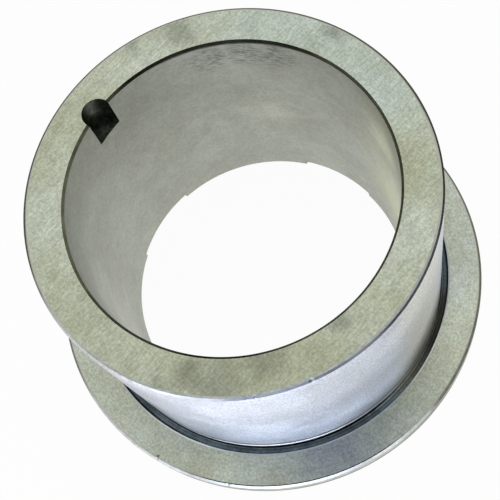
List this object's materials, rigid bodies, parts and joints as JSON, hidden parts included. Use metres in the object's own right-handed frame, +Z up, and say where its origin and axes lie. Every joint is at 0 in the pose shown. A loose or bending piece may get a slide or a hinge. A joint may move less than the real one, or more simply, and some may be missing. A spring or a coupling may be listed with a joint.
{
  "type": "shaft bushing",
  "caption": "Flanged steel shaft bushing: a bored sleeve with a ground outer race, a flange with a grinding relief at its foot, a half-round pin notch and oil slots under the flange.",
  "frame": {"origin": "on the bore's axis, in the plane of the flange's underside", "axes": "+Z up along the bore, from the flange towards the plain end; +X through the half-round pin notch"},
  "size_m": [0.0984, 0.0984, 0.0555],
  "materials": {
    "ground_steel": "hardened steel, ground on the race and the faces, fine turned in the bore"
  },
  "bodies": {
    "root": {"shaft_bushing": "ground_steel"}
  },
  "joints": []
}
